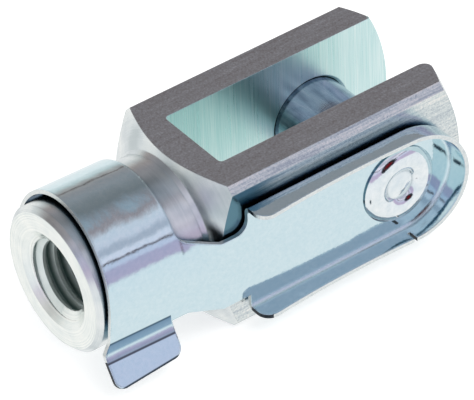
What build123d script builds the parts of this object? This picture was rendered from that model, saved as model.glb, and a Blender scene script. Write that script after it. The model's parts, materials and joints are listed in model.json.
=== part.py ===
from build123d import *
import os
from math import asin, cos, degrees, hypot, radians, sin, tan

# Clevis rod end for an M8 rod and an 8 mm eye: a forked head machined from square bar, and a
# pin riveted to a spring clip that snaps round the head's neck.
#
# Millimetres. The origin is where the pin's axis crosses the rod's axis. +X runs along the rod
# axis to the fork's open end, +Y along the pin to its free tip, and +Z out of the slot's open
# side. The clip lies on the -Y side.

# Square bar
bar_width = 15.9
bar_chamfer = 0.65

# Turned ends of the bar
neck_diameter = 14.2
neck_chamfer = 0.5
neck_end_to_pin = 32.0
neck_length = 12.1
shoulder_half_angle = 61.0
shoulder_chamfer = 0.3
fork_end_to_pin = 9.5
end_dome_radius = 18.0

# Slot between the two ears
fork_gap = 8.35
slot_floor_to_pin = 16.3
slot_floor_radius = 0.4
near_ear_radius = 0.8
far_ear_radius = 0.2

# Threaded bore along the rod axis: the wall is at the thread's outer diameter
thread_diameter = 8.0
thread_clearance = 0.05
countersink_diameter = 9.6
countersink_angle = 109.0

# Pin and its hole through both ears
pin_diameter = 8.0
pin_clearance = 0.05
hole_edge_break = 0.25
pin_tip_reach = 0.9
pin_tip_chamfer = 0.6

# Rivet that holds the pin in the clip
rivet_diameter = 5.0
rivet_clearance = 0.02
rivet_head_diameter = 7.8
rivet_head_edge = 0.15
rivet_head_height = 0.8
rivet_crown_diameter = 5.2
rivet_groove_diameter = 2.9
rivet_groove_depth = 0.55
rivet_button_diameter = 1.0
rivet_button_rise = 0.2

# Clip: sheet and arm
sheet = 0.4
arm_clearance = 0.25
arm_height = 11.7
flange_start_depth = 2.75
flange_waist_depth = 2.15
rim_depth = 2.75
bend_radius = 0.35
rim_centre_past_pin = 0.5
flange_start_to_pin = 16.8
flange_corner_radius = 1.3
flange_relief_width = 0.3
flange_relief_depth = 0.9
arm_drop = 4.15
blend_length = 3.2
swing_clearance = 0.3

# Clip: cut-out in the arm's upper edge, between the flange and the ring
window_floor_height = 3.2
window_floor_rise = 0.7
window_floor_radius = 8.0
window_flange_radius = 1.3
window_ring_radius = 1.0

# Clip: ring round the neck, its axis a little higher at the neck's end
ring_clearance = 0.3
ring_rise = 0.2
ring_tilt = 1.9
ring_front_inset = 1.15
ring_front_lean = 2.8
ring_front_skew = 3.2
ring_width = 7.5
ring_rear_lean = 2.3
ring_near_drop = 3.3
ring_far_wrap = 10.0
lip_flare_radius = 1.2
lip_flare_angle = 55.0

# Clip: thumb tab under the ring's near side
tab_front_reach = 1.25
tab_width = 7.35
tab_root_drop = 1.75
tab_root_angle = 33.0
tab_root_radius = 1.0
tab_drop = 2.8
tab_bend_radius = 2.2
tab_bend_angle = 36.0
tab_length = 2.85
tab_end_slant = 4.8
tab_front_radius = 0.9
tab_rear_radius = 1.1

# Places worked out from the sizes above
cut_margin = 1.0
bar_half = bar_width / 2
neck_radius = neck_diameter / 2
neck_end_x = -neck_end_to_pin
shoulder_x = neck_end_x + neck_length
shoulder_slope = tan(radians(shoulder_half_angle))
slot_floor_x = -slot_floor_to_pin
bore_radius = thread_diameter / 2 + thread_clearance
pin_radius = pin_diameter / 2
arm_inner_y = bar_half + arm_clearance
arm_outer_y = arm_inner_y + sheet
arm_flat_half = arm_height / 2 - bend_radius - sheet
flange_start_x = -flange_start_to_pin
ring_radius = neck_radius + ring_clearance
ring_front_x = neck_end_x + ring_front_inset
ring_frame = Plane(
    origin=(ring_front_x, 0, ring_rise),
    x_dir=(0, 1, 0),
    z_dir=(cos(radians(ring_tilt)), 0, -sin(radians(ring_tilt))),
)


def shoulder_position(radius):
    """Place along the rod axis where the shoulder's cone has this radius."""
    return shoulder_x + (radius - neck_radius) / shoulder_slope


def turned_blank():
    """Neck, shoulder cone and domed fork end, as the lathe leaves them."""
    reach = hypot(bar_half, bar_half)
    dome_centre_x = fork_end_to_pin - end_dome_radius
    dome_angle = degrees(asin(reach / end_dome_radius))
    with BuildPart() as blank:
        with BuildSketch(Plane.XY) as blank_profile:
            with BuildLine():
                dome = CenterArc((dome_centre_x, 0), end_dome_radius, 0, dome_angle)
                Polyline(
                    dome @ 1,
                    (shoulder_position(reach), reach),
                    (shoulder_x, neck_radius),
                    (neck_end_x + neck_chamfer, neck_radius),
                    (neck_end_x, neck_radius - neck_chamfer),
                    (neck_end_x, 0),
                    dome @ 0,
                )
            make_face()
            corners = blank_profile.vertices()
            chamfer(corners.sort_by_distance((shoulder_x, neck_radius))[0], shoulder_chamfer)
        revolve(axis=Axis.X)
    return blank.part


def square_bar():
    """Drawn bar with its four long edges broken."""
    length = neck_end_to_pin + fork_end_to_pin + 2 * cut_margin
    middle_x = (fork_end_to_pin - neck_end_to_pin) / 2
    with BuildPart() as bar:
        with Locations((middle_x, 0, 0)):
            Box(length, bar_width, bar_width)
        chamfer(bar.edges().filter_by(Axis.X), bar_chamfer)
    return bar.part


def fork_slot():
    """Material taken out between the ears, open at the fork's end, above and below."""
    length = slot_floor_to_pin + fork_end_to_pin + cut_margin
    with BuildPart() as slot:
        with Locations((slot_floor_x + length / 2, 0, 0)):
            Box(length, fork_gap, bar_width + 2 * cut_margin)
        floor_edges = slot.edges().filter_by(Axis.Z).group_by(Axis.X)[0]
        fillet(floor_edges, slot_floor_radius)
    return slot.part


def rod_bore():
    """Bore for the rod's thread, from the neck's countersunk mouth into the slot."""
    mouth_radius = countersink_diameter / 2
    sink_depth = (mouth_radius - bore_radius) / tan(radians(countersink_angle / 2))
    bore_end_x = slot_floor_x + cut_margin
    with BuildPart() as bore:
        with BuildSketch(Plane.XY):
            with BuildLine():
                Polyline(
                    (neck_end_x - cut_margin, 0),
                    (neck_end_x - cut_margin, mouth_radius),
                    (neck_end_x, mouth_radius),
                    (neck_end_x + sink_depth, bore_radius),
                    (bore_end_x, bore_radius),
                    (bore_end_x, 0),
                    close=True,
                )
            make_face()
        revolve(axis=Axis.X)
    return bore.part


def pin_hole():
    """Hole through both ears, with its edges broken at the slot's walls."""
    hole_radius = pin_radius + pin_clearance
    wall_y = fork_gap / 2
    broken_radius = hole_radius + hole_edge_break
    hole = Rot(90, 0, 0) * Cylinder(hole_radius, bar_width + 2 * cut_margin)
    with BuildPart() as edge_break:
        with BuildSketch(Plane.XY):
            with BuildLine():
                Polyline(
                    (0, -wall_y - hole_edge_break),
                    (hole_radius, -wall_y - hole_edge_break),
                    (broken_radius, -wall_y),
                    (broken_radius, wall_y),
                    (hole_radius, wall_y + hole_edge_break),
                    (0, wall_y + hole_edge_break),
                    close=True,
                )
            make_face()
        revolve(axis=Axis.Y)
    return hole + edge_break.part


def ear_tip(body, wall_y):
    """Edge where the domed end meets one wall of the slot."""
    on_wall = body.edges().filter_by(lambda edge: abs(edge.center().Y - wall_y) < 0.01)
    return on_wall.sort_by(Axis.X)[-1]


def clevis_body():
    """The forked head, in one piece."""
    body = turned_blank() & square_bar()
    body -= fork_slot()
    body = fillet(ear_tip(body, -fork_gap / 2), near_ear_radius)
    body = fillet(ear_tip(body, fork_gap / 2), far_ear_radius)
    body -= pin_hole()
    body -= rod_bore()
    return body


def clevis_pin():
    """Plain pin with a chamfered tip, its other end riveted over the clip's sheet."""
    tip_y = bar_half + pin_tip_reach
    rivet_radius = rivet_diameter / 2
    head_radius = rivet_head_diameter / 2
    crown = (rivet_crown_diameter / 2, -arm_outer_y - rivet_head_height)
    groove = (rivet_groove_diameter / 2, crown[1] + rivet_groove_depth)
    button_y = groove[1] - rivet_button_rise
    with BuildPart() as pin:
        with BuildSketch(Plane.XY):
            with BuildLine():
                side = Polyline(
                    groove,
                    (rivet_button_diameter / 2, button_y),
                    (0, button_y),
                    (0, tip_y),
                    (pin_radius - pin_tip_chamfer, tip_y),
                    (pin_radius, tip_y - pin_tip_chamfer),
                    (pin_radius, -arm_inner_y),
                    (rivet_radius, -arm_inner_y),
                    (rivet_radius, -arm_outer_y),
                    (head_radius, -arm_outer_y),
                    (head_radius, -arm_outer_y - rivet_head_edge),
                )
                TangentArc(crown, side @ 1, tangent=(1, 0))
                TangentArc(crown, groove, tangent=(-1, 0))
            make_face()
        revolve(axis=Axis.Y)
    return pin.part


def arm_outline(half_height, start_x):
    """Straight arm with a half-round end beyond the pin."""
    length = rim_centre_past_pin - start_x
    with BuildSketch(Plane.XZ) as outline:
        with Locations((start_x + length / 2, 0)):
            Rectangle(length, 2 * half_height)
        with Locations((rim_centre_past_pin, 0)):
            Circle(half_height)
    return outline.sketch


def pressed_block(half_height, start_x, back_y, depth, edge_radius):
    """Arm outline raised outwards from a back face whose long edge is rounded."""
    face = Pos(0, -back_y, 0) * arm_outline(half_height, start_x)
    block = extrude(face, amount=depth)
    back_edges = block.edges().group_by(Axis.Y)[-1]
    rim_edges = back_edges.filter_by(lambda edge: edge.center().X > start_x + 0.01)
    return fillet(rim_edges, edge_radius)


def beyond_free_edges():
    """Space outside the flanges: their free edges bow inwards along the arm."""
    start_y = -arm_inner_y - flange_start_depth
    waist_y = -arm_inner_y - flange_waist_depth
    rim_y = -arm_inner_y - rim_depth
    outside_y = min(start_y, waist_y, rim_y) - cut_margin
    rim_x = rim_centre_past_pin + arm_height / 2
    with BuildPart() as space:
        with BuildSketch(Plane.XY.offset(-arm_height)):
            with BuildLine():
                waist = ((flange_start_x + rim_x) / 2, waist_y)
                bow = ThreePointArc((flange_start_x, start_y), waist, (rim_x, rim_y))
                Polyline(
                    bow @ 1,
                    (rim_x + cut_margin, rim_y),
                    (rim_x + cut_margin, outside_y),
                    (flange_start_x - cut_margin, outside_y),
                    (flange_start_x - cut_margin, start_y),
                    bow @ 0,
                )
            make_face()
        extrude(amount=2 * arm_height)
    return space.part


def arm_tray():
    """Arm with its flanges: both long edges and the round end turned outwards."""
    half_height = arm_height / 2
    depth = max(flange_start_depth, flange_waist_depth, rim_depth) + cut_margin
    outer = pressed_block(
        half_height, flange_start_x, arm_inner_y, depth, bend_radius + sheet
    )
    inner = pressed_block(
        half_height - sheet, flange_start_x - cut_margin, arm_outer_y, depth, bend_radius
    )
    tray = outer - inner - beyond_free_edges()
    end_face = tray.faces().filter_by(Axis.X).sort_by(Axis.X)[0]
    across = end_face.edges().filter_by(Axis.Z)
    tray = fillet(across.group_by(Axis.Y)[0], flange_corner_radius)
    relief_y = -(arm_inner_y + flange_waist_depth - flange_relief_depth / 2 + cut_margin / 2)
    relief = Pos(rim_centre_past_pin, relief_y, -half_height) * Box(
        flange_relief_width, flange_relief_depth + cut_margin, 4 * sheet
    )
    return tray - relief


def ring_plane(distance, lean, skew):
    """Plane of one of the ring's edges, at a distance along the ring's axis."""
    origin = ring_frame.from_local_coords((0, 0, distance))
    ahead = ring_frame.from_local_coords((-tan(radians(skew)), -tan(radians(lean)), distance + 1))
    return Plane(origin=origin, z_dir=ahead - origin)


def clamp_ring():
    """Open ring that grips the neck from above, ending in a lip turned outwards."""
    with BuildPart() as ring:
        with BuildSketch(ring_frame.offset(-2 * cut_margin)):
            with BuildLine():
                Line((-ring_radius, -tab_drop), (-ring_radius, 0))
                wrap = CenterArc((0, 0), ring_radius, 180, -180 - ring_far_wrap)
                JernArc(wrap @ 1, wrap % 1, lip_flare_radius, lip_flare_angle)
                offset(amount=sheet, side=Side.LEFT)
            make_face()
        extrude(amount=ring_width + 4 * cut_margin)
    front = ring_plane(0, ring_front_lean, ring_front_skew)
    rear = ring_plane(ring_width, ring_rear_lean, 0)
    band = split(ring.part, bisect_by=front, keep=Keep.TOP)
    return split(band, bisect_by=rear, keep=Keep.BOTTOM)


def blend_end():
    """Distance along the ring's axis where the blend from the arm meets the ring."""
    return (blend_start() - blend_length - ring_front_x) / cos(radians(ring_tilt))


def blend_start():
    """Place along the rod axis where the arm stops being flat, clear of the turning ears."""
    corner_reach = hypot(shoulder_position(hypot(bar_half, bar_half)), bar_half)
    face_reach = abs(shoulder_position(bar_half))
    return -(max(corner_reach, face_reach) + swing_clearance)


def ring_side_section(plane, top_angle):
    """Section of the ring from its axis height up to an angle over the neck."""
    with BuildSketch(plane) as section:
        with BuildLine():
            outer_arc = CenterArc((0, 0), ring_radius + sheet, 180, -top_angle)
            inner_arc = CenterArc((0, 0), ring_radius, 180, -top_angle)
            Line(outer_arc @ 0, inner_arc @ 0)
            Line(outer_arc @ 1, inner_arc @ 1)
        make_face()
    return section.sketch


def ring_flat_section(plane):
    """Section of the ring's flat near side, below its axis height."""
    with BuildSketch(plane) as section:
        with Locations((-ring_radius - sheet / 2, -ring_near_drop / 2)):
            Rectangle(sheet, ring_near_drop)
    return section.sketch


def blend_between(bottom_z, top_z, end_section):
    """Sheet running straight from a strip of the arm to a section of the ring."""
    with BuildSketch(Plane.YZ.offset(blend_start())) as strip:
        with Locations((-(arm_inner_y + arm_outer_y) / 2, (bottom_z + top_z) / 2)):
            Rectangle(sheet, top_z - bottom_z)
    return loft([strip.sketch, end_section], ruled=True)


def neck_strip():
    """Flat end of the arm, the blend inwards from it, and the ring's near side."""
    ring_top = window_floor_height + window_floor_rise + window_ring_radius + cut_margin
    top_angle = degrees(asin(ring_top / (ring_radius + sheet)))
    flat_length = flange_start_x - blend_start()
    flat = Pos(
        blend_start() + flat_length / 2,
        -(arm_inner_y + arm_outer_y) / 2,
        (arm_flat_half - arm_drop) / 2,
    ) * Box(flat_length, sheet, arm_flat_half + arm_drop)

    side_end = ring_frame.offset(blend_end())
    tab_rear = tab_width - tab_front_reach
    lower_start = ring_frame.offset(tab_rear)
    lower_side = extrude(ring_flat_section(lower_start), amount=blend_end() - tab_rear)
    upper_start = ring_frame.offset(ring_width / 2)
    upper_side = extrude(
        ring_side_section(upper_start, top_angle), amount=blend_end() - ring_width / 2
    )
    lower_blend = blend_between(-arm_drop, 0, ring_flat_section(side_end))
    upper_blend = blend_between(0, arm_flat_half, ring_side_section(side_end, top_angle))
    return flat + lower_side + upper_side + lower_blend + upper_blend


def arm_window():
    """Rounded cut-out in the arm's upper edge, between the ring and the flange."""
    top_z = 2 * arm_height
    rear = ring_plane(ring_width, ring_rear_lean, 0)
    overrun = ring_front_x
    slope = window_floor_rise / blend_length
    overrun_z = window_floor_height + (blend_start() - overrun) * slope
    with BuildPart() as window:
        with BuildSketch(Plane.XZ.offset(neck_radius / 2)):
            with BuildLine():
                Polyline(
                    (flange_start_x, top_z),
                    (flange_start_x, window_floor_height),
                    (blend_start(), window_floor_height),
                    (overrun, overrun_z),
                    (overrun, top_z),
                    close=True,
                )
            make_face()
        extrude(amount=arm_outer_y)
    cutter = split(window.part, bisect_by=rear, keep=Keep.TOP)
    across = cutter.edges().filter_by(Axis.Y)
    cutter = fillet(across.sort_by(Axis.X)[0:2].sort_by(Axis.Z)[0], window_ring_radius)
    across = cutter.edges().filter_by(Axis.Y)
    cutter = fillet(across.sort_by(Axis.X)[-2:].sort_by(Axis.Z)[0], window_flange_radius)
    floor_bend = (blend_start(), -(arm_inner_y + arm_outer_y) / 2, window_floor_height)
    across = cutter.edges().filter_by(Axis.Y)
    return fillet(across.sort_by_distance(floor_bend)[0], window_floor_radius)


def thumb_tab():
    """Tab bent outwards below the ring's near side, its two corners rounded."""
    angle = radians(tab_bend_angle)
    with BuildPart() as tab:
        with BuildSketch(Plane.XY.offset(-tab_front_reach)):
            with BuildLine():
                Line((-ring_radius, -tab_root_drop), (-ring_radius, -tab_drop))
                bend = JernArc(
                    (-ring_radius, -tab_drop), (0, -1), tab_bend_radius + sheet, -tab_bend_angle
                )
                free_end = bend @ 1 + (bend % 1) * (tab_length + cut_margin)
                Line(bend @ 1, free_end)
                offset(amount=sheet, side=Side.RIGHT)
            make_face()
        extrude(amount=tab_width)
    root_plane = Plane(
        origin=(-ring_radius, -tab_root_drop, 0),
        z_dir=(0, sin(radians(tab_root_angle)), -cos(radians(tab_root_angle))),
    )
    tab = split(tab.part, bisect_by=root_plane, keep=Keep.BOTTOM)
    corner = bend @ 1 + (bend % 1) * tab_length
    end_plane = Plane(
        origin=(corner.X, corner.Y, -tab_front_reach),
        z_dir=(-sin(angle), -cos(angle), tan(radians(tab_end_slant))),
    )
    tab = split(tab, bisect_by=end_plane, keep=Keep.BOTTOM)
    end_face = tab.faces().sort_by(Axis.Y)[0]
    across = end_face.edges().sort_by(lambda edge: edge.length)[0:2]
    front_corner, rear_corner = across.sort_by(Axis.Z)
    tab = fillet(front_corner, tab_front_radius)
    rear_point = rear_corner.center()
    rear_corner = tab.edges().sort_by_distance(rear_point)[0]
    tab = fillet(rear_corner, tab_rear_radius)
    return ring_frame.location * tab


def spring_clip():
    """The whole clip, blanked and bent from one sheet."""
    rivet_hole = Pos(0, -arm_inner_y, 0) * Rot(90, 0, 0) * Cylinder(
        rivet_diameter / 2 + rivet_clearance, 4 * sheet
    )
    strip = neck_strip() - arm_window()
    clip = arm_tray() + strip + clamp_ring() + thumb_tab() - rivet_hole
    root_point = ring_frame.from_local_coords((-ring_radius, -tab_root_drop, 0))
    across = clip.edges().filter_by(lambda edge: abs(edge.length - sheet) < sheet / 10)
    return fillet(across.sort_by_distance(root_point)[0], tab_root_radius)


pieces = {
    "clevis_body": clevis_body(),
    "clevis_pin": clevis_pin(),
    "spring_clip": spring_clip(),
}

os.makedirs("parts", exist_ok=True)
for name, piece in pieces.items():
    export_step(piece, os.path.join("parts", name + ".step"))
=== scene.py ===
import bpy
import json
import math
from mathutils import Matrix, Vector
from mathutils.bvhtree import BVHTree


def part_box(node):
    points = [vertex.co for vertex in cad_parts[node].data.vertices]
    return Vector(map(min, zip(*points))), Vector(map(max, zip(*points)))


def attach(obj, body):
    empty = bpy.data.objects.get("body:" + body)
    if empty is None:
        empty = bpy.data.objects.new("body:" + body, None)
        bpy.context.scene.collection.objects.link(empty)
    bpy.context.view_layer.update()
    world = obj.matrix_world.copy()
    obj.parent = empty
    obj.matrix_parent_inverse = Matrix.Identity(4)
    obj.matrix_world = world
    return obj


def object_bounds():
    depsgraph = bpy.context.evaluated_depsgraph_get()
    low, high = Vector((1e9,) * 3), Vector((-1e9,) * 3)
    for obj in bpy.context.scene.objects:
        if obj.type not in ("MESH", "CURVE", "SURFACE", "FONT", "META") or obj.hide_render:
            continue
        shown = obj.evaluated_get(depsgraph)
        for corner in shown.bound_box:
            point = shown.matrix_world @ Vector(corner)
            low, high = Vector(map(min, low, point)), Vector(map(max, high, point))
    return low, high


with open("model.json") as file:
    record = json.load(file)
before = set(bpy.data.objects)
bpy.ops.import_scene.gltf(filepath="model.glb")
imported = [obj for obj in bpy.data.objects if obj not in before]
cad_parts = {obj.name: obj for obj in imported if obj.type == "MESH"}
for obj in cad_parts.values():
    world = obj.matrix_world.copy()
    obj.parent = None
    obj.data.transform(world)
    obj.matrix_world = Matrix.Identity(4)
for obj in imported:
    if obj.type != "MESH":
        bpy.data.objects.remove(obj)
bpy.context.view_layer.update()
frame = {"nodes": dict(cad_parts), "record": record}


# ---------------------------------------------------------------------------------------------
# Clevis body. Square bar of free-cutting steel, drawn to size, turned at both ends, slotted with
# a disc cutter, drilled, and zinc plated with a blue passivate that leaves it pale and cool.
# ---------------------------------------------------------------------------------------------
MM = 0.001
HAIR = 0.02 * MM  # how near a surface counts as on it
body_low, body_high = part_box("clevis_body")
rod_mount = next(mount for mount in frame["record"]["mounts"] if mount["name"] == "rod_thread")
BAR_HALF = body_high.z
NECK_END_X = body_low.x
BORE_RADIUS = rod_mount["dims"]["r_mm"] * MM
MOUTH_RADIUS = 4.8 * MM
SLOT_FLOOR_X = -16.3 * MM
SLOT_HALF = 4.175 * MM
SLOT_EDGE_BREAK = 0.3 * MM
CHAMFER_REACH = 1.2 * BAR_HALF
SQUARE_ON = 0.01  # the part of a face's normal that counts as none
BROKEN_EDGE_MM = 0.12


def linear(colour):
    """sRGB hex such as "#8a8d90" to linear RGBA."""
    channels = [int(colour[i:i + 2], 16) / 255 for i in (1, 3, 5)]
    return [c / 12.92 if c <= 0.04045 else ((c + 0.055) / 1.055) ** 2.4 for c in channels] + [1.0]


def add(tree, kind, settings=None, links=None):
    """Adds a node. Settings are its properties, its unlinked inputs, or a ramp's stops as places
    and hex colours. Links are inputs fed by a socket, or by another node's first output."""
    node = tree.nodes.new(kind)
    for name, value in (settings or {}).items():
        if name == "stops":
            stops = node.color_ramp.elements
            stops.remove(stops[-1])
            stops[0].position = value[0][0]
            stops[0].color = linear(value[0][1])
            for position, colour in value[1:]:
                stops.new(position).color = linear(colour)
        elif isinstance(name, int) or name in node.inputs:
            node.inputs[name].default_value = value
        else:
            setattr(node, name, value)
    for name, source in (links or {}).items():
        socket = source.outputs[0] if isinstance(source, bpy.types.Node) else source
        tree.links.new(socket, node.inputs[name])
    return node


def new_plating(name):
    """A fresh material with its tree emptied, and the place on the part in millimetres."""
    material = bpy.data.materials.new(name)
    material.use_nodes = True
    tree = material.node_tree
    tree.nodes.clear()
    place = add(tree, "ShaderNodeTexCoord").outputs["Object"]
    in_mm = add(tree, "ShaderNodeVectorMath", {"operation": "SCALE", "Scale": 1 / MM}, {0: place})
    return material, tree, in_mm.outputs[0]


def painted_corner_shade(tree, colour, shade_tint, reach_mm, shut, clear):
    """The colour with painted shade, tinted towards the shade tint where other metal stands within reach:
    fully where only the shut share of the surroundings is open, and not at all from the clear share."""
    openness = add(tree, "ShaderNodeAmbientOcclusion", {"samples": 16, "Distance": reach_mm * MM})
    limits = {"From Min": shut, "From Max": clear, "To Min": 1.0, "To Max": 0.0}
    fading = {"interpolation_type": "SMOOTHSTEP", **limits}
    painted_shade_share = add(tree, "ShaderNodeMapRange", fading, {"Value": openness.outputs["AO"]})
    settings = {"data_type": "RGBA", "blend_type": "MULTIPLY", 7: linear(shade_tint)}
    return add(tree, "ShaderNodeMix", settings, {"Factor": painted_shade_share, 6: colour}).outputs[2]


def finish_plating(tree, colour, roughness, relief, relief_mm, edge_mm=0.0, metallic=1.0):
    """Closes a metal's tree: colour, roughness, relief and softened edges into one shader."""
    bump = add(tree, "ShaderNodeBump", {"Strength": 1.0, "Distance": relief_mm * MM}, {"Height": relief})
    if edge_mm:
        edge = add(tree, "ShaderNodeBevel", {"samples": 4, "Radius": edge_mm * MM})
        tree.links.new(edge.outputs[0], bump.inputs["Normal"])
    links = {"Base Color": colour, "Roughness": roughness, "Normal": bump}
    shader = add(tree, "ShaderNodeBsdfPrincipled", {"Metallic": metallic}, links)
    add(tree, "ShaderNodeOutputMaterial", {}, {"Surface": shader})


# Drawn bar: the die leaves a dull, close grain that the plating follows, so the face looks
# evenly grey and slightly gritty, with faint streaks along the bar. The real grain is finer, and
# is drawn as coarse as it needs to be to show.
drawn_bar, tree, place = new_plating("drawn_bar_blue_zinc")
GRIT_MM = 0.2
GRIT_HEIGHT_MM = 0.03
DIE_STREAK_MM = (5.95, 0.446, 0.446)
DIE_STREAK_SHARE = 0.35
bar_tones = [(0.4, "#938c8b"), (0.6, "#adabad"), (0.72, "#b6b7ba"), (0.95, "#d2d4d8")]
fine_grain = {"Scale": 1 / GRIT_MM, "Detail": 3.0, "Roughness": 0.7}
grit = add(tree, "ShaderNodeTexNoise", fine_grain, {"Vector": place})
along = add(tree, "ShaderNodeMapping", {"Scale": [1 / size for size in DIE_STREAK_MM]}, {"Vector": place})
streak = add(tree, "ShaderNodeTexNoise", {"Scale": 1.0, "Detail": 2.0}, {"Vector": along})
streaked = {"operation": "MULTIPLY_ADD", 1: DIE_STREAK_SHARE}
mottle = add(tree, "ShaderNodeMath", streaked, {0: streak, 2: grit})
colour = add(tree, "ShaderNodeValToRGB", {"stops": bar_tones}, {"Fac": mottle})
roughness = add(tree, "ShaderNodeMapRange", {"To Min": 0.3, "To Max": 0.5}, {"Value": grit})
finish_plating(tree, colour, roughness, grit, GRIT_HEIGHT_MM, BROKEN_EDGE_MM)

# Drawn sides and chamfers, rolled smoother than the bar's top: bright, with streaks along the bar
# and the same grit, but fainter.
drawn_side, tree, place = new_plating("drawn_side_blue_zinc")
SIDE_GRIT_HEIGHT_MM = 0.008
SIDE_STREAK_MM = (7.81, 0.284, 0.284)
SIDE_GRIT_SHARE = 0.6
side_tones = [(0.6, "#b3bcc2"), (0.8, "#d3dad9"), (1.0, "#ebeae5")]
grit = add(tree, "ShaderNodeTexNoise", {"Scale": 1 / GRIT_MM, "Detail": 3.0}, {"Vector": place})
along = add(tree, "ShaderNodeMapping", {"Scale": [1 / size for size in SIDE_STREAK_MM]}, {"Vector": place})
streak = add(tree, "ShaderNodeTexNoise", {"Scale": 1.0, "Detail": 3.0, "Roughness": 0.65}, {"Vector": along})
gritty = {"operation": "MULTIPLY_ADD", 1: SIDE_GRIT_SHARE}
mottle = add(tree, "ShaderNodeMath", gritty, {0: grit, 2: streak})
clean_side = add(tree, "ShaderNodeValToRGB", {"stops": side_tones}, {"Fac": mottle})
roughness = add(tree, "ShaderNodeMapRange", {"To Min": 0.14, "To Max": 0.3}, {"Value": streak})

# On the near side, painted shade where the clip stands close: a ragged dark blue patch of painted
# shade in the upper corner by the neck, and painted corner shade along the clip. Each pair says
# where it starts to fade and where it is gone.
PAINTED_SHADE_COLOUR = "#5d8290"
PAINTED_SHADE_RAGGED_MM = 6.0
PAINTED_SHADE_FADES_X_MM = (-13.0, -9.0)
PAINTED_SHADE_FADES_Z_MM = (5.5, 3.0)
SHADE_FADES_DOWN_Z_MM = (-4.5, -5.8)
SHADE_FADES_UP_Z_MM = (7.15, 7.4)
SHADE_FADES_Y_MM = (-7.8, -7.0)
axes = add(tree, "ShaderNodeSeparateXYZ", {}, {0: place})
by_streak = {"operation": "MULTIPLY_ADD", 1: (PAINTED_SHADE_RAGGED_MM,) * 3}
ragged_place = add(tree, "ShaderNodeVectorMath", by_streak, {0: streak, 2: place})
ragged = add(tree, "ShaderNodeSeparateXYZ", {}, {0: ragged_place})
gone = []
for fades_mm, measure in (
    (PAINTED_SHADE_FADES_X_MM, ragged.outputs["X"]),
    (PAINTED_SHADE_FADES_Z_MM, ragged.outputs["Z"]),
    (SHADE_FADES_DOWN_Z_MM, axes.outputs["Z"]),
    (SHADE_FADES_UP_Z_MM, axes.outputs["Z"]),
    (SHADE_FADES_Y_MM, axes.outputs["Y"]),
):
    limits = {"interpolation_type": "SMOOTHSTEP", "From Min": fades_mm[0], "From Max": fades_mm[1]}
    gone.append(add(tree, "ShaderNodeMapRange", limits, {"Value": measure}))
past_painted_shade = add(tree, "ShaderNodeMath", {"operation": "MAXIMUM"}, {0: gone[0], 1: gone[1]})
above_or_below = add(tree, "ShaderNodeMath", {"operation": "MAXIMUM"}, {0: gone[2], 1: gone[3]})
off_shade = add(tree, "ShaderNodeMath", {"operation": "MAXIMUM"}, {0: above_or_below, 1: gone[4]})
clear_of_painted_shade = add(tree, "ShaderNodeMath", {"operation": "MAXIMUM"}, {0: off_shade, 1: past_painted_shade})
# The ragged patch of painted shade, then painted corner shade over it.
painted_patch = {"data_type": "RGBA", 6: linear(PAINTED_SHADE_COLOUR)}
with_painted_patch = add(tree, "ShaderNodeMix", painted_patch, {"Factor": clear_of_painted_shade, 7: clean_side}).outputs[2]
shaded = painted_corner_shade(tree, with_painted_patch, shade_tint="#9fb6c6", reach_mm=0.8, shut=0.4, clear=0.8)
shading = {"Factor": off_shade, 6: shaded, 7: clean_side}
colour = add(tree, "ShaderNodeMix", {"data_type": "RGBA"}, shading).outputs[2]
finish_plating(tree, colour, roughness, grit, SIDE_GRIT_HEIGHT_MM, BROKEN_EDGE_MM)


def tool_rings(tree, place, axis, feed_mm, travel, grain=0.7):
    """Fine rings that a tool leaves round this axis, a feed apart: noise that changes only with
    the distance from the axis and, where the tool travels along the work, with that as well."""
    sideways = {"operation": "MULTIPLY", 1: [1.0 - share for share in axis]}
    off_axis = add(tree, "ShaderNodeVectorMath", sideways, {0: place})
    radius = add(tree, "ShaderNodeVectorMath", {"operation": "LENGTH"}, {0: off_axis})
    along = add(tree, "ShaderNodeVectorMath", {"operation": "DOT_PRODUCT", 1: axis}, {0: place})
    steps = {0: along.outputs["Value"], 2: radius.outputs["Value"]}
    path = add(tree, "ShaderNodeMath", {"operation": "MULTIPLY_ADD", 1: travel}, steps)
    ring_place = add(tree, "ShaderNodeCombineXYZ", {}, {"X": path})
    rings = {"Scale": 1 / feed_mm, "Detail": 2.0, "Roughness": grain}
    return add(tree, "ShaderNodeTexNoise", rings, {"Vector": ring_place})


# Turned ends: the lathe tool leaves fine rings about the rod axis, closer than the eye can
# part, so the neck, cone and dome look silky and bright, with soft clouds in the plating.
turned_end, tree, place = new_plating("turned_steel_blue_zinc")
ROD_AXIS = (1.0, 0.0, 0.0)
TURNING_FEED_MM = 0.16
TURNED_RING_HEIGHT_MM = 0.005
TURNED_RING_SHARE = 0.4
TURNED_CLOUD_MM = 3.33
turned_tones = [(0.5, "#bcc5c7"), (0.66, "#d0d7d9"), (0.8, "#dfe4e3"), (0.95, "#eceeec")]
rings = tool_rings(tree, place, ROD_AXIS, TURNING_FEED_MM, travel=1.0)
cloud = add(tree, "ShaderNodeTexNoise", {"Scale": 1 / TURNED_CLOUD_MM, "Detail": 2.0}, {"Vector": place})
ringed = {"operation": "MULTIPLY_ADD", 1: TURNED_RING_SHARE}
mottle = add(tree, "ShaderNodeMath", ringed, {0: rings, 2: cloud})
colour = add(tree, "ShaderNodeValToRGB", {"stops": turned_tones}, {"Fac": mottle})
# Painted shade: the neck and cone go darker blue grey where the clip and the body stand close.
colour = painted_corner_shade(tree, colour, shade_tint="#5e8494", reach_mm=1.3, shut=0.5, clear=0.9)
roughness = add(tree, "ShaderNodeMapRange", {"To Min": 0.18, "To Max": 0.28}, {"Value": cloud})
finish_plating(tree, colour, roughness, rings, TURNED_RING_HEIGHT_MM, BROKEN_EDGE_MM)

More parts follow.
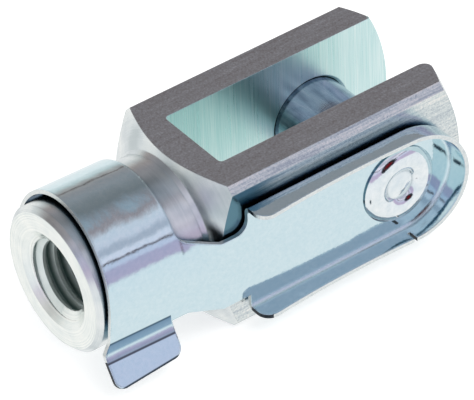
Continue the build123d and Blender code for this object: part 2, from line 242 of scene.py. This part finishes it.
# Faced end: the neck's end and the mouth of its bore, cut last with a sharp tool and left bright,
# with rings that catch the light.
faced_end, tree, place = new_plating("faced_steel_blue_zinc")
FACING_FEED_MM = 0.22
FACED_RING_HEIGHT_MM = 0.012
FACED_CLOUD_MM = 1.43
FACED_CLOUD_SHARE = 0.6
faced_tones = [(0.5, "#d6dedd"), (0.75, "#e8edea"), (1.0, "#f4f6f1")]
rings = tool_rings(tree, place, ROD_AXIS, FACING_FEED_MM, travel=0.0)
cloud = add(tree, "ShaderNodeTexNoise", {"Scale": 1 / FACED_CLOUD_MM, "Detail": 4.0}, {"Vector": place})
clouded = {"operation": "MULTIPLY_ADD", 1: FACED_CLOUD_SHARE}
mottle = add(tree, "ShaderNodeMath", clouded, {0: cloud, 2: rings})
colour = add(tree, "ShaderNodeValToRGB", {"stops": faced_tones}, {"Fac": mottle})
roughness = add(tree, "ShaderNodeMapRange", {"To Min": 0.16, "To Max": 0.3}, {"Value": cloud})
finish_plating(tree, colour, roughness, rings, FACED_RING_HEIGHT_MM, BROKEN_EDGE_MM)

# Milled slot: the disc cutter sweeps across the bar and leaves upright scratches on both walls,
# drawn wider than real ones so that they show. The plating is thin and greenish down there.
milled_slot, tree, place = new_plating("milled_slot_blue_zinc")
SCRATCH_MM = 0.14
SCRATCH_DEPTH_MM = 0.01
SCRATCH_STRETCH = 50
CUTTER_BAND_MM = 1.11
CUTTER_BAND_SHARE = 0.4
slot_tones = [(0.45, "#bfe0de"), (0.7, "#d2eae8"), (0.95, "#e4f4f1")]
cutter_lines = {"Scale": 1 / SCRATCH_MM, "Detail": 2.0, "Roughness": 0.65}
upright = add(tree, "ShaderNodeMapping", {"Scale": (1.0, 1.0, 1 / SCRATCH_STRETCH)}, {"Vector": place})
scratch = add(tree, "ShaderNodeTexNoise", cutter_lines, {"Vector": upright})
band = add(tree, "ShaderNodeTexNoise", {"Scale": 1 / CUTTER_BAND_MM, "Detail": 2.0}, {"Vector": upright})
banded = {"operation": "MULTIPLY_ADD", 1: CUTTER_BAND_SHARE}
mottle = add(tree, "ShaderNodeMath", banded, {0: band, 2: scratch})
colour = add(tree, "ShaderNodeValToRGB", {"stops": slot_tones}, {"Fac": mottle})
roughness = add(tree, "ShaderNodeMapRange", {"To Min": 0.2, "To Max": 0.42}, {"Value": scratch})
finish_plating(tree, colour, roughness, scratch, SCRATCH_DEPTH_MM, BROKEN_EDGE_MM)

# Tapped bore: cutting oil and thin plating leave the thread a dull grey green, with painted shade
# darker in its grooves.
tapped_bore, tree, place = new_plating("tapped_bore_thin_zinc")
OIL_STAIN_MM = 1.11
OIL_STAIN_HEIGHT_MM = 0.004
bore_tones = [(0.3, "#d4dfdd"), (0.7, "#e8efec")]
oil = add(tree, "ShaderNodeTexNoise", {"Scale": 1 / OIL_STAIN_MM, "Detail": 4.0}, {"Vector": place})
colour = add(tree, "ShaderNodeValToRGB", {"stops": bore_tones}, {"Fac": oil})
colour = painted_corner_shade(tree, colour, shade_tint="#8aa29f", reach_mm=0.9, shut=0.35, clear=0.8)
roughness = add(tree, "ShaderNodeMapRange", {"To Min": 0.24, "To Max": 0.4}, {"Value": oil})
finish_plating(tree, colour, roughness, oil, OIL_STAIN_HEIGHT_MM, metallic=0.7)


def give_faces(node, finishes, choose):
    """Fills the node's material slots and picks one for each face by its middle and its normal."""
    mesh = frame["nodes"][node].data
    mesh.materials.clear()
    for finish in finishes:
        mesh.materials.append(finish)
    for face in mesh.polygons:
        face.material_index = finishes.index(choose(face.center, face.normal))


def body_finish(middle, normal):
    """Which tool made this face of the body."""
    reach = math.hypot(middle.y, middle.z)
    behind_slot = middle.x < SLOT_FLOOR_X
    if middle.x > SLOT_FLOOR_X - HAIR / 2 and abs(middle.y) < SLOT_HALF + SLOT_EDGE_BREAK:
        return milled_slot
    if behind_slot and reach < BORE_RADIUS + HAIR:
        return tapped_bore
    if middle.x < NECK_END_X + HAIR or behind_slot and reach < MOUTH_RADIUS:
        return faced_end
    along_bar = abs(normal.x) < SQUARE_ON
    on_flat = max(abs(middle.y), abs(middle.z)) > BAR_HALF - HAIR
    on_chamfer = abs(abs(normal.y) - abs(normal.z)) < SQUARE_ON and reach > CHAMFER_REACH
    if along_bar and (on_flat or on_chamfer):
        top_or_bottom = abs(normal.z) > 1 - SQUARE_ON
        return drawn_bar if top_or_bottom else drawn_side
    return turned_end


body_finishes = [drawn_bar, drawn_side, turned_end, faced_end, milled_slot, tapped_bore]
give_faces("clevis_body", body_finishes, body_finish)

# ---------------------------------------------------------------------------------------------
# Rod thread. M8 x 1.25 cut by a tap in the neck's bore: one ridge winds inwards from the
# countersunk mouth, which trims its first turn, and runs out at the slot's floor.
# ---------------------------------------------------------------------------------------------
PITCH = 1.25 * MM
CREST_RADIUS = 3.35 * MM
ROOT_RADIUS = BORE_RADIUS + HAIR
CREST_FLAT = PITCH / 4
ROOT_FLAT = PITCH / 8
MOUTH_SLOPE = math.tan(math.radians(109.0 / 2))
BORE_END_X = SLOT_FLOOR_X - HAIR
FIRST_CREST_TURN = -0.14  # where the crest would cross the neck's end
STEPS_PER_TURN = 96


def ridge_section(middle):
    """The ridge's trapezium with its middle at this place along the bore, cut back by the mouth's
    cone and the slot's floor: points from front root over the crest to rear root, or None."""
    half_root, half_crest = (PITCH - ROOT_FLAT) / 2, CREST_FLAT / 2
    flank = (half_root - half_crest) / (ROOT_RADIUS - CREST_RADIUS)
    past_mouth = NECK_END_X + MOUTH_RADIUS / MOUTH_SLOPE - middle - half_crest + flank * CREST_RADIUS
    top_by_mouth = past_mouth / (flank + 1 / MOUTH_SLOPE)
    top_by_floor = CREST_RADIUS + (middle - half_crest - BORE_END_X) / flank
    top = max(CREST_RADIUS, top_by_mouth, top_by_floor)
    if top > ROOT_RADIUS:
        return None
    half_top = half_crest + flank * (top - CREST_RADIUS)
    corners = [(-half_root, ROOT_RADIUS), (-half_top, top), (half_top, top), (half_root, ROOT_RADIUS)]
    section = []
    for shift, radius in corners:
        mouth = NECK_END_X + (MOUTH_RADIUS - radius) / MOUTH_SLOPE
        section.append((min(max(middle + shift, mouth), BORE_END_X), radius))
    return section


def thread_ridge():
    """Closed mesh of the ridge, wound from the mouth to the slot. Where the mouth's tool cut its
    start, it has the faced finish."""
    points, faces = [], []
    steps = round((SLOT_FLOOR_X - NECK_END_X + PITCH) / PITCH * STEPS_PER_TURN)
    for step in range(steps):
        turn = 2 * math.pi * (step / STEPS_PER_TURN + FIRST_CREST_TURN)
        section = ridge_section(NECK_END_X + PITCH * step / STEPS_PER_TURN)
        if not section:
            continue
        first = len(points)
        points += [(x, radius * math.cos(turn), radius * math.sin(turn)) for x, radius in section]
        if first:
            sides = [(side, (side + 1) % 4) for side in range(4)]
            faces += [(first + b - 4, first + b, first + a, first + a - 4) for a, b in sides]
    last = len(points) - 1
    faces += [(3, 2, 1, 0), (last - 3, last - 2, last - 1, last)]
    mesh = bpy.data.meshes.new("rod_thread")
    mesh.from_pydata(points, [], faces)
    mesh.materials.append(tapped_bore)
    mesh.materials.append(faced_end)
    for face in mesh.polygons:
        mouth = NECK_END_X + (MOUTH_RADIUS - math.hypot(face.center.y, face.center.z)) / MOUTH_SLOPE
        face.material_index = int(abs(face.center.x - mouth) < HAIR)
    return mesh


rod_thread = bpy.data.objects.new("rod_thread", thread_ridge())
bpy.context.scene.collection.objects.link(rod_thread)
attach(rod_thread, "head")

# ---------------------------------------------------------------------------------------------
# Spring clip. Cold-rolled spring steel strip, blanked, folded and rolled round the neck, then
# bright zinc plated and held to the fork by the pin's head.
# ---------------------------------------------------------------------------------------------
SHEET = 0.4 * MM
SHEET_BEHIND = 1.4 * SHEET
ARM_FACE_Y = -8.65 * MM
FLANGE_TEAR_Y = -9.4 * MM
TAB_EDGES_X = -19.0 * MM
TAB_TOP_Z = -3.9 * MM

# Rolled strip: nearly a mirror, with the slight waves that rolling and bending leave and a faint
# haze from the plating bath.
rolled_strip, tree, place = new_plating("rolled_strip_bright_zinc")
ROLLING_WAVE_MM = 4.0
WAVE_HEIGHT_MM = 0.1
FINE_WAVE_MM = 0.588
FINE_WAVE_SHARE = 0.07
HAZE_MM = 0.417
FOLD_SOFTNESS_MM = 0.3
strip_tones = [(0.3, "#c8dee4"), (0.7, "#d4e5e9")]
waves = add(tree, "ShaderNodeTexNoise", {"Scale": 1 / ROLLING_WAVE_MM, "Detail": 1.5}, {"Vector": place})
fine = add(tree, "ShaderNodeTexNoise", {"Scale": 1 / FINE_WAVE_MM, "Detail": 3.0}, {"Vector": place})
rippled = {"operation": "MULTIPLY_ADD", 1: FINE_WAVE_SHARE}
relief = add(tree, "ShaderNodeMath", rippled, {0: fine, 2: waves})
cloudy = {"Scale": 1 / HAZE_MM, "Detail": 5.0, "Roughness": 0.7}
haze = add(tree, "ShaderNodeTexNoise", cloudy, {"Vector": place})
plain_strip = add(tree, "ShaderNodeValToRGB", {"stops": strip_tones}, {"Fac": haze})
roughness = add(tree, "ShaderNodeMapRange", {"To Min": 0.03, "To Max": 0.1}, {"Value": haze})

# Painted reflection along the tab's root, where its bend would mirror the room: a dark line, a
# blue band, a band left bright and a second dark line. Painted shade darkens the tab's lower edge,
# which is rolled over. Both lines of marks are given by how much they fall per millimetre towards
# the fork and how far they lie below the rod axis at the pin, and each ramp runs upwards across them.
TAB_ROOT_FALL = 0.033
TAB_ROOT_DEPTH_MM = 4.91
TAB_ROOT_REACH_MM = (-0.5, 2.0)
TAB_EDGE_FALL = -0.036
TAB_EDGE_DEPTH_MM = 4.99
TAB_EDGE_REACH_MM = (0.0, 0.3)
TAB_SIDE_X_MM = -24.95
NEAR_SIDE_Y_MM = -7.0
root_reflection_tones = [
    (0.0, "#ffffff"), (0.09, "#ffffff"), (0.12, "#6e6a70"), (0.15, "#6e6a70"), (0.19, "#d8dadc"),
    (0.3, "#ffffff"), (0.4, "#ffffff"), (0.47, "#aabdd0"), (0.7, "#93a7be"), (0.74, "#5d7083"),
    (0.78, "#66788a"), (0.82, "#ffffff"),
]
edge_shade_tones = [(0.0, "#4b5058"), (0.35, "#5a6068"), (0.55, "#ffffff")]
painted_tab_marks = []
for fall, depth_mm, reach_mm, tones in (
    (TAB_ROOT_FALL, TAB_ROOT_DEPTH_MM, TAB_ROOT_REACH_MM, root_reflection_tones),
    (TAB_EDGE_FALL, TAB_EDGE_DEPTH_MM, TAB_EDGE_REACH_MM, edge_shade_tones),
):
    square_on = {"operation": "DOT_PRODUCT", 1: (fall, 0.0, 1.0)}
    height = add(tree, "ShaderNodeVectorMath", square_on, {0: place}).outputs["Value"]
    above = add(tree, "ShaderNodeMath", {"operation": "ADD", 1: depth_mm}, {0: height})
    limits = {"From Min": reach_mm[0], "From Max": reach_mm[1]}
    share = add(tree, "ShaderNodeMapRange", limits, {"Value": above})
    painted_tab_marks.append(add(tree, "ShaderNodeValToRGB", {"stops": tones}, {"Fac": share}))
over_each_other = {"data_type": "RGBA", "blend_type": "MULTIPLY", "Factor": 1.0}
painted_tab_light = add(tree, "ShaderNodeMix", over_each_other, {6: painted_tab_marks[0], 7: painted_tab_marks[1]}).outputs[2]
axes = add(tree, "ShaderNodeSeparateXYZ", {}, {0: place})
in_width = add(tree, "ShaderNodeMath", {"operation": "LESS_THAN", 1: TAB_SIDE_X_MM}, {0: axes.outputs["X"]})
near = add(tree, "ShaderNodeMath", {"operation": "LESS_THAN", 1: NEAR_SIDE_Y_MM}, {0: axes.outputs["Y"]})
on_tab = add(tree, "ShaderNodeMath", {"operation": "MULTIPLY"}, {0: in_width, 1: near})
tab_painting = {"Factor": on_tab, 6: plain_strip, 7: painted_tab_light}
tab_with_painted_light = add(tree, "ShaderNodeMix", {"data_type": "RGBA", "blend_type": "MULTIPLY"}, tab_painting).outputs[2]
# Painted shade: the strip goes darker blue grey in its folds and where it stands close to other metal.
colour = painted_corner_shade(tree, tab_with_painted_light, shade_tint="#6b8399", reach_mm=1.0, shut=0.1, clear=0.6)
finish_plating(tree, colour, roughness, relief, WAVE_HEIGHT_MM, FOLD_SOFTNESS_MM)


def blanked_edge(name, grain_mm, grain_height_mm, tones, smoothest, dullest):
    """The finish of an edge that the punch left, with a grain as coarse as the break."""
    edge, tree, place = new_plating(name)
    grain = add(tree, "ShaderNodeTexNoise", {"Scale": 1 / grain_mm, "Detail": 4.0}, {"Vector": place})
    colour = add(tree, "ShaderNodeValToRGB", {"stops": tones}, {"Fac": grain})
    roughness = add(tree, "ShaderNodeMapRange", {"To Min": smoothest, "To Max": dullest}, {"Value": grain})
    finish_plating(tree, colour, roughness, grain, grain_height_mm)
    return edge


# Sheared edge: the smooth part of the cut, bright, with the plating over its fine drag lines.
sheared_edge = blanked_edge(
    "sheared_edge_zinc", grain_mm=0.2, grain_height_mm=0.012,
    tones=[(0.3, "#cfd6d7"), (0.7, "#eceeeb")], smoothest=0.25, dullest=0.45,
)

# Torn edge: where the punch broke the strip off across its grain, rough, and dark because the
# plating hardly takes there.
torn_edge = blanked_edge(
    "torn_edge_thin_zinc", grain_mm=0.25, grain_height_mm=0.02,
    tones=[(0.35, "#1e2429"), (0.7, "#4a5158")], smoothest=0.35, dullest=0.6,
)

strip_mesh = frame["nodes"]["spring_clip"].data
strip_tree = BVHTree.FromPolygons(
    [vertex.co for vertex in strip_mesh.vertices], [face.vertices for face in strip_mesh.polygons]
)


def clip_finish(middle, normal):
    """Rolled face or blanked edge, told apart by how much metal lies straight behind it. The tab's
    edges and the flanges' starts are torn, as far as the punch bent them over."""
    behind = strip_tree.ray_cast(middle - normal * HAIR / 2, -normal)[3]
    if behind and behind < SHEET_BEHIND:
        return rolled_strip
    faces_fork = normal.x > 0.5
    faces_neck = normal.x < -0.3
    torn_to = FLANGE_TEAR_Y if middle.z > 0 else -math.inf
    on_tab = middle.x < TAB_EDGES_X and middle.z < TAB_TOP_Z and not faces_fork
    at_flange_start = faces_neck and ARM_FACE_Y > middle.y > torn_to
    return torn_edge if on_tab or at_flange_start else sheared_edge


give_faces("spring_clip", [rolled_strip, sheared_edge, torn_edge], clip_finish)

# ---------------------------------------------------------------------------------------------
# Clevis pin. Turned steel pin, its thinned end pushed through the clip and spun over, which
# burnishes a bright dished head.
# ---------------------------------------------------------------------------------------------
HEAD_START_Y = -8.6 * MM

# Turned pin: a cool blue grey with rings about the pin, and streaks dragged along it where it
# was pushed through the ears.
turned_pin, tree, place = new_plating("turned_pin_bright_zinc")
PIN_AXIS = (0.0, 1.0, 0.0)
PIN_FEED_MM = 0.12
PIN_RING_HEIGHT_MM = 0.006
PIN_CLOUD_MM = 1.25
PIN_CLOUD_SHARE = 0.5
DRAG_MM = 0.455
DRAG_STRETCH = 10
pin_tones = [(0.5, "#8390a0"), (0.75, "#a6b3c2"), (0.95, "#bac5d0")]
rings = tool_rings(tree, place, PIN_AXIS, PIN_FEED_MM, travel=1.0, grain=0.5)
cloud = add(tree, "ShaderNodeTexNoise", {"Scale": 1 / PIN_CLOUD_MM, "Detail": 4.0}, {"Vector": place})
lengthwise = add(tree, "ShaderNodeMapping", {"Scale": (1.0, 1 / DRAG_STRETCH, 1.0)}, {"Vector": place})
drag_lines = {"Scale": 1 / DRAG_MM, "Detail": 3.0, "Roughness": 0.65}
drag = add(tree, "ShaderNodeTexNoise", drag_lines, {"Vector": lengthwise})
clouded = {"operation": "MULTIPLY_ADD", 1: PIN_CLOUD_SHARE}
mottle = add(tree, "ShaderNodeMath", clouded, {0: cloud, 2: drag})
colour = add(tree, "ShaderNodeValToRGB", {"stops": pin_tones}, {"Fac": mottle})
roughness = add(tree, "ShaderNodeMapRange", {"To Min": 0.1, "To Max": 0.24}, {"Value": cloud})
finish_plating(tree, colour, roughness, rings, PIN_RING_HEIGHT_MM)

# Spun head: the rolling tool burnishes it, so it is the brightest metal on the part, with dark
# lines of painted shade where the tool's edge bit in and where the head sits on the sheet.
spun_head, tree, place = new_plating("spun_head_bright_zinc")
BURNISH_MM = 0.714
BURNISH_HEIGHT_MM = 0.01
HEAD_EDGE_MM = 0.06
head_tones = [(0.3, "#dce5e8"), (0.7, "#eef2f2")]
burnish = add(tree, "ShaderNodeTexNoise", {"Scale": 1 / BURNISH_MM, "Detail": 4.0}, {"Vector": place})
colour = add(tree, "ShaderNodeValToRGB", {"stops": head_tones}, {"Fac": burnish})
colour = painted_corner_shade(tree, colour, shade_tint="#5e8494", reach_mm=0.8, shut=0.5, clear=0.9)
roughness = add(tree, "ShaderNodeMapRange", {"To Min": 0.06, "To Max": 0.14}, {"Value": burnish})
finish_plating(tree, colour, roughness, burnish, BURNISH_HEIGHT_MM, HEAD_EDGE_MM)


def pin_finish(middle, normal):
    """The head is what stands out of the clip's sheet."""
    return spun_head if middle.y < HEAD_START_Y else turned_pin


give_faces("clevis_pin", [turned_pin, spun_head], pin_finish)

# ---------------------------------------------------------------------------------------------
# Studio. A white paper sweep under the part, plain surroundings for its metal to mirror, one
# broad soft lamp and a camera.
# ---------------------------------------------------------------------------------------------
scene = bpy.context.scene
scene.view_settings.view_transform = "Standard"

# Paper sweep: matt white. A little of its own glow lifts it to plain white round the shadow, and
# in the metal it is mirrored as white.
FLOOR_HALF = 1.5
PAPER_GLOW = 0.5
paper = bpy.data.materials.new("white_paper_sweep")
paper.use_nodes = True
tree = paper.node_tree
tree.nodes.clear()
path = add(tree, "ShaderNodeLightPath")
matt = add(tree, "ShaderNodeBsdfDiffuse", {"Color": linear("#e9e9e9")})
direct = {0: path.outputs["Is Camera Ray"]}
lift = add(tree, "ShaderNodeMath", {"operation": "MULTIPLY", 1: PAPER_GLOW}, direct)
glow = add(tree, "ShaderNodeEmission", {"Color": linear("#ffffff")}, {"Strength": lift})
lifted = add(tree, "ShaderNodeAddShader", {}, {0: matt, 1: glow})
plain = add(tree, "ShaderNodeEmission", {"Color": linear("#ffffff"), "Strength": 1.0})
rays = {0: path.outputs["Is Glossy Ray"], 1: path.outputs["Is Transmission Ray"]}
mirrored = add(tree, "ShaderNodeMath", {"operation": "MAXIMUM"}, rays)
shown = add(tree, "ShaderNodeMixShader", {}, {0: mirrored, 1: lifted, 2: plain})
add(tree, "ShaderNodeOutputMaterial", {}, {"Surface": shown})

floor_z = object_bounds()[0].z
corners = [(x * FLOOR_HALF, y * FLOOR_HALF, floor_z) for x, y in ((-1, -1), (1, -1), (1, 1), (-1, 1))]
floor_mesh = bpy.data.meshes.new("studio_floor")
floor_mesh.from_pydata(corners, [], [(0, 1, 2, 3)])
floor_mesh.materials.append(paper)
floor = bpy.data.objects.new("studio_floor", floor_mesh)
scene.collection.objects.link(floor)
floor.visible_glossy = False
floor.visible_shadow = False

# What the metal mirrors, from straight below (0) over the level (0.5) to straight above (1). The
# near side has the white sweep, a lilac wall, the lamp in its dark frame and a dim ceiling. The
# far side has a grey wall with one dark rail.
NEAR_SIDE = [
    (0.0, "#ffffff"), (0.51, "#f7faff"), (0.53, "#e6e6f0"), (0.545, "#ccbcd8"), (0.65, "#c6bbd8"),
    (0.67, "#dadaf2"), (0.713, "#dedff6"), (0.722, "#54484e"), (0.73, "#5e5056"), (0.742, "#f2edff"),
    (0.78, "#efebfa"), (0.8, "#c4c5d6"), (0.83, "#c4c5d6"), (0.86, "#e6e3f2"), (0.9, "#e4e4f1"),
    (0.93, "#a8979c"), (0.945, "#a9b4c2"), (1.0, "#9da6b2"),
]
FAR_SIDE = [
    (0.0, "#ffffff"), (0.5, "#ffffff"), (0.6, "#d9dede"), (0.66, "#bab0ae"), (0.685, "#b9b0ae"),
    (0.692, "#5a4846"), (0.698, "#5a4846"), (0.708, "#b3a9a8"), (0.75, "#a39c9f"), (0.82, "#9f9da2"),
    (0.88, "#8f8f93"), (0.92, "#838488"), (0.95, "#969ea9"), (1.0, "#9da6b2"),
]
FAR_SIDE_FROM_Y = -0.15
FAR_SIDE_ALL_BY_Y = 0.3
ROOM_LIGHT = 0.75
world = bpy.data.worlds.new("studio")
scene.world = world
world.use_nodes = True
tree = world.node_tree
tree.nodes.clear()
way = add(tree, "ShaderNodeTexCoord").outputs["Generated"]
axes = add(tree, "ShaderNodeSeparateXYZ", {}, {0: way})
rise = add(tree, "ShaderNodeMath", {"operation": "MULTIPLY_ADD", 1: 0.5, 2: 0.5}, {0: axes.outputs["Z"]})
near_view = add(tree, "ShaderNodeValToRGB", {"stops": NEAR_SIDE}, {"Fac": rise})
far_view = add(tree, "ShaderNodeValToRGB", {"stops": FAR_SIDE}, {"Fac": rise})
limits = {"interpolation_type": "SMOOTHSTEP", "From Min": FAR_SIDE_FROM_Y, "From Max": FAR_SIDE_ALL_BY_Y}
beyond = add(tree, "ShaderNodeMapRange", limits, {"Value": axes.outputs["Y"]})
views = {"Factor": beyond, 6: near_view, 7: far_view}
mirror_view = add(tree, "ShaderNodeMix", {"data_type": "RGBA"}, views).outputs[2]

# Two dark gaps in the sweep give the bright metal its dark lines: a small one low on the left,
# and one in front, just above the level, with something red behind it. Each has the way to its
# middle, where its edge starts and ends, and the colour of its heart.
SMALL_GAP = ((-0.43, -0.64, -0.635), 0.05, 0.1, "#34444f")
FRONT_GAP = ((0.05, -0.95, 0.3), 0.26, 0.3, "#6c1118")
for middle, edge_start, edge_end, heart in (SMALL_GAP, FRONT_GAP):
    to_middle = {"operation": "DISTANCE", 1: middle}
    off_gap = add(tree, "ShaderNodeVectorMath", to_middle, {0: way}).outputs["Value"]
    limits = {"interpolation_type": "SMOOTHSTEP", "From Min": edge_start, "From Max": edge_end}
    clear_of_gap = add(tree, "ShaderNodeMapRange", limits, {"Value": off_gap})
    gap_tones = [(0.0, heart), (0.12, heart), (0.17, "#26262b"), (0.3, "#34444f")]
    in_gap = add(tree, "ShaderNodeValToRGB", {"stops": gap_tones}, {"Fac": off_gap})
    views = {"Factor": clear_of_gap, 6: in_gap, 7: mirror_view}
    mirror_view = add(tree, "ShaderNodeMix", {"data_type": "RGBA"}, views).outputs[2]

# What is not mirrored is a plain white room: soft light on the part from all round, and white
# behind it.
path = add(tree, "ShaderNodeLightPath")
room = add(tree, "ShaderNodeBackground", {"Color": linear("#ffffff"), "Strength": ROOM_LIGHT})
mirrored = add(tree, "ShaderNodeBackground", {"Strength": 1.0}, {"Color": mirror_view})
white = add(tree, "ShaderNodeBackground", {"Color": linear("#ffffff"), "Strength": 1.0})
lit = add(tree, "ShaderNodeMixShader", {}, {0: path.outputs["Is Glossy Ray"], 1: room, 2: mirrored})
rays = {0: path.outputs["Is Camera Ray"], 1: path.outputs["Is Transmission Ray"]}
seen = add(tree, "ShaderNodeMath", {"operation": "MAXIMUM"}, rays)
surroundings = add(tree, "ShaderNodeMixShader", {}, {0: seen, 1: lit, 2: white})
add(tree, "ShaderNodeOutputWorld", {}, {"Surface": surroundings})

# Lamp: a broad soft box up over the near side. It lights the part and drops its shadow on the
# sweep, while the metal mirrors the lamp of the surroundings above.
LAMP_PLACE = (0.15, -0.35, 0.5)
LAMP_WIDTH, LAMP_DEPTH = 0.5, 0.4
LAMP_WATTS = 1.2
lamp_data = bpy.data.lights.new("soft_lamp", "AREA")
lamp_data.shape = "RECTANGLE"
lamp_data.size = LAMP_WIDTH
lamp_data.size_y = LAMP_DEPTH
lamp_data.energy = LAMP_WATTS
lamp = bpy.data.objects.new("soft_lamp", lamp_data)
scene.collection.objects.link(lamp)
lamp.location = LAMP_PLACE
lamp.rotation_euler = (-lamp.location).to_track_quat("-Z", "Y").to_euler()
lamp.visible_glossy = False

# Camera: turned and raised about the part, a little rolled, with the pin's middle at this pixel.
# Its lens is long and stands well back, so that the part's edges stay nearly parallel.
AZIMUTH, ELEVATION, ROLL = math.radians(-35.46), math.radians(38.88), math.radians(-2.51)
DISTANCE = 0.394
PIXELS_PER_METRE = 10957
PIN_PIXEL = (339.022, 138.054)
PICTURE = (474, 400)
SENSOR_MM = 36.0
level = math.cos(ELEVATION)
back = Vector((math.sin(AZIMUTH) * level, -math.cos(AZIMUTH) * level, math.sin(ELEVATION)))
level_right = Vector((0, 0, 1)).cross(back).normalized()
level_up = back.cross(level_right)
right = math.cos(ROLL) * level_right + math.sin(ROLL) * level_up
up = math.cos(ROLL) * level_up - math.sin(ROLL) * level_right
off_right = (PIN_PIXEL[0] - PICTURE[0] / 2) / PIXELS_PER_METRE
off_up = (PICTURE[1] / 2 - PIN_PIXEL[1]) / PIXELS_PER_METRE
camera_data = bpy.data.cameras.new("camera")
camera_data.sensor_width = SENSOR_MM
camera_data.lens = PIXELS_PER_METRE * DISTANCE * SENSOR_MM / PICTURE[0]
camera_data.clip_start = 0.01
camera = bpy.data.objects.new("camera", camera_data)
scene.collection.objects.link(camera)
facing = Matrix((right, up, back)).transposed().to_4x4()
camera.matrix_world = Matrix.Translation(back * DISTANCE - right * off_right - up * off_up) @ facing
scene.camera = camera
